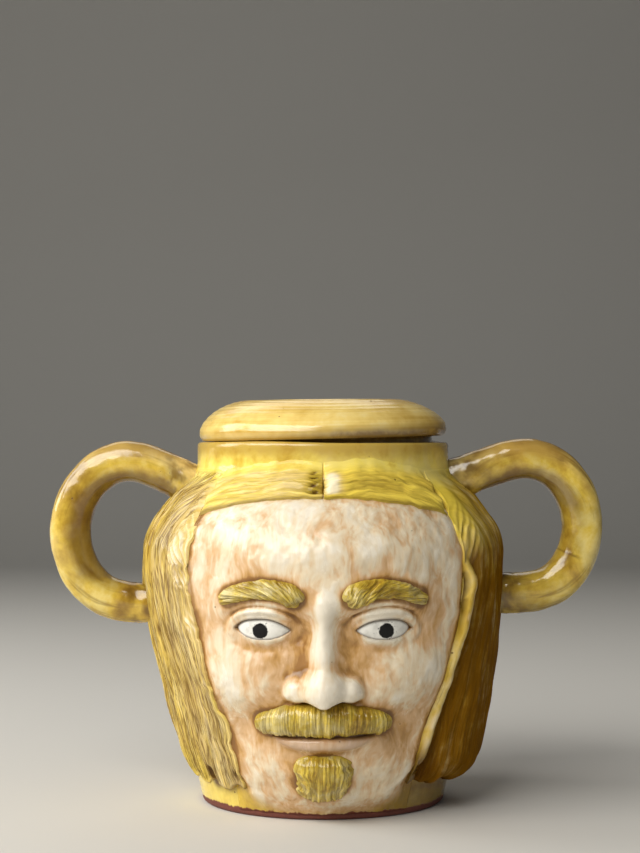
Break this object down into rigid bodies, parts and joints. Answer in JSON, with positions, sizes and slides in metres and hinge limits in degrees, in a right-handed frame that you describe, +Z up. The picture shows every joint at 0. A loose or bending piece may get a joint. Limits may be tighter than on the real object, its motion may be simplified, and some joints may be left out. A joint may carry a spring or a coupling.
{
  "type": "lidded face jug",
  "caption": "Glazed earthenware jug with side handles, modelled as a bearded head with combed hair and moustache, closed by a thrown lift-off lid.",
  "frame": {"origin": "middle of the foot's resting face", "axes": "+Z up along the pot's axis, -Y the way the face looks, +X towards the handle on the viewer's right"},
  "size_m": [0.2512, 0.1735, 0.1824],
  "materials": {
    "amber_glaze": "glossy amber lead-style glaze over yellow slip, brown where it pools",
    "hair_glaze": "glossy amber glaze over combed clay, brown in the grooves",
    "lid_glaze": "glossy ochre glaze with fine throwing lines",
    "face_slip": "cream slip with a brushed brown wash under a thin clear glaze",
    "beard_glaze": "glossy olive-yellow glaze over combed clay",
    "eye_slip": "glossy white slip with black pupils"
  },
  "bodies": {
    "jug": {"jug_body": "amber_glaze", "left_handle": "amber_glaze", "right_handle": "amber_glaze", "face_slab": "face_slip", "nose": "face_slip", "left_eye": "eye_slip", "right_eye": "eye_slip", "left_upper_eyelid": "face_slip", "left_lower_eyelid": "face_slip", "right_upper_eyelid": "face_slip", "right_lower_eyelid": "face_slip", "left_eyebrow": "beard_glaze", "right_eyebrow": "beard_glaze", "upper_lip": "face_slip", "lower_lip": "face_slip", "moustache": "beard_glaze", "goatee": "beard_glaze", "left_fringe": "hair_glaze", "right_fringe": "hair_glaze", "left_hair_lock": "hair_glaze", "right_hair_lock": "hair_glaze", "back_hair": "hair_glaze"},
    "lid": {"lid": "lid_glaze"}
  },
  "joints": [
    {"name": "lid_lift", "type": "slide", "parent": "jug", "child": "lid", "axis": [0, 0, 1], "range_m": [0, 0.06]}
  ]
}
